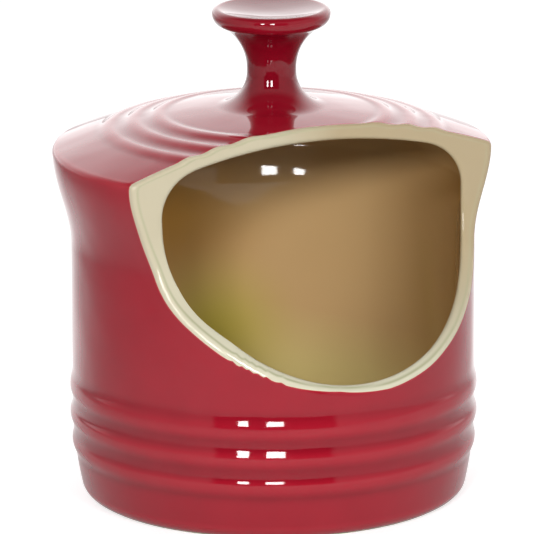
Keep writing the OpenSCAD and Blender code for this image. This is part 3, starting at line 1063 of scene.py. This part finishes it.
# %% Tent, with angles in degrees from the camera's direction and from level
tent_light, top_light, gap_light, back_light = 0.55, 0.08, 0.02, 2.0
top_start, top_full = 30, 55
gap_half_turn, gap_low, gap_high, gap_soft = 34, -30, 30, 2
back_start, back_full, back_top, back_even = 95, 150, 78, 26

world = bpy.data.worlds.new("tent")
scene.world = world
world.use_nodes = True
tent = world.node_tree
background = tent.nodes["Background"]
background.inputs["Color"].default_value = (1, 1, 1, 1)
toward = position_part(tent, "Generated", (-math.sin(mouth_turn), -math.cos(mouth_turn), 0))
sideways = position_part(tent, "Generated", (math.cos(mouth_turn), -math.sin(mouth_turn), 0))
upward = position_part(tent, "Generated", (0, 0, 1))
turn_off = sums(tent, "ABSOLUTE", sums(tent, "ARCTAN2", sideways, toward), 0)
climb_up = sums(tent, "ARCSINE", upward, 0)
print("tent", tent_light, "gap", gap_light, "back", back_light, "top", top_light)


# %% Gap, back and top of the tent
def fade_degrees(value, start, end):
    """The fade of an angle in the tent, with its ends in degrees."""
    return fade(tent, value, math.radians(start), math.radians(end))


in_turn = fade_degrees(turn_off, gap_half_turn + gap_soft, gap_half_turn - gap_soft)
over_low = fade_degrees(climb_up, gap_low - gap_soft, gap_low + gap_soft)
under_high = fade_degrees(climb_up, gap_high + gap_soft, gap_high - gap_soft)
gap_mask = sums(tent, "MULTIPLY", sums(tent, "MULTIPLY", in_turn, over_low), under_high)
far_side = fade_degrees(turn_off, back_start, back_full)
under_top = fade_degrees(climb_up, back_top, back_even)
back_mask = sums(tent, "MULTIPLY", far_side, under_top)
top_mask = fade_degrees(climb_up, top_start, top_full)
top_dimming = sums(tent, "MULTIPLY", top_mask, tent_light - top_light)
gap_dimming = sums(tent, "MULTIPLY", gap_mask, tent_light - gap_light)
dimming = sums(tent, "ADD", top_dimming, gap_dimming)
brightening = sums(tent, "MULTIPLY", back_mask, back_light - tent_light)
glow = sums(tent, "ADD", sums(tent, "SUBTRACT", tent_light, dimming), brightening)
to_camera = tent.nodes.new("ShaderNodeLightPath").outputs["Is Camera Ray"]
elsewhere = sums(tent, "SUBTRACT", 1.0, to_camera)
seen_white = sums(tent, "ADD", sums(tent, "MULTIPLY", glow, elsewhere), to_camera)
tent.links.new(seen_white, background.inputs["Strength"])
print("tent", len(tent.nodes), "nodes")

# %% [markdown]
# ## The lamps
# The glaze mirrors two soft lamps as small windows, on the rings, on the neck and inside. One set of
# lamps could light the colours and show in the gloss, but then the brightness of both would hang
# together. So a key, a fill and a low fill light the colours without showing in the gloss, and two
# windows show only there.

# %% Lamps
lamp_distance = 1.5
lamp_height = 0.06


def softbox(name, turn, climb, wide, high, power, in_gloss):
    """A lamp at a turn from the camera and a climb, with its size as seen from the pot, all in degrees."""
    light = bpy.data.lights.new(name, "AREA")
    light.shape = "RECTANGLE"
    light.size = 2 * lamp_distance * math.tan(math.radians(wide) / 2)
    light.size_y = 2 * lamp_distance * math.tan(math.radians(high) / 2)
    light.energy = power
    lamp = bpy.data.objects.new(name, light)
    scene.collection.objects.link(lamp)
    lamp.visible_glossy = in_gloss
    lamp.visible_diffuse = not in_gloss
    turned_to = Matrix.Rotation(-mouth_turn + math.radians(turn), 4, "Z")
    raised = Matrix.Rotation(-math.radians(climb), 4, "X")
    pushed = Matrix.Translation((0, -lamp_distance, 0)) @ Matrix.Rotation(math.pi / 2, 4, "X")
    lamp.matrix_world = Matrix.Translation((0, 0, lamp_height)) @ turned_to @ raised @ pushed
    print(name, power, "W")


softbox("key_light", turn=-9.5, climb=21.5, wide=7.5, high=8, power=12.2, in_gloss=False)
softbox("fill_light", turn=25, climb=22, wide=16, high=10, power=8.4, in_gloss=False)
softbox("low_fill", turn=14, climb=4, wide=30, high=8, power=1.2, in_gloss=False)
softbox("left_window", turn=-17, climb=14.5, wide=6.4, high=20, power=7.2, in_gloss=True)
softbox("right_window", turn=1.4, climb=14.5, wide=8.6, high=20, power=9.6, in_gloss=True)
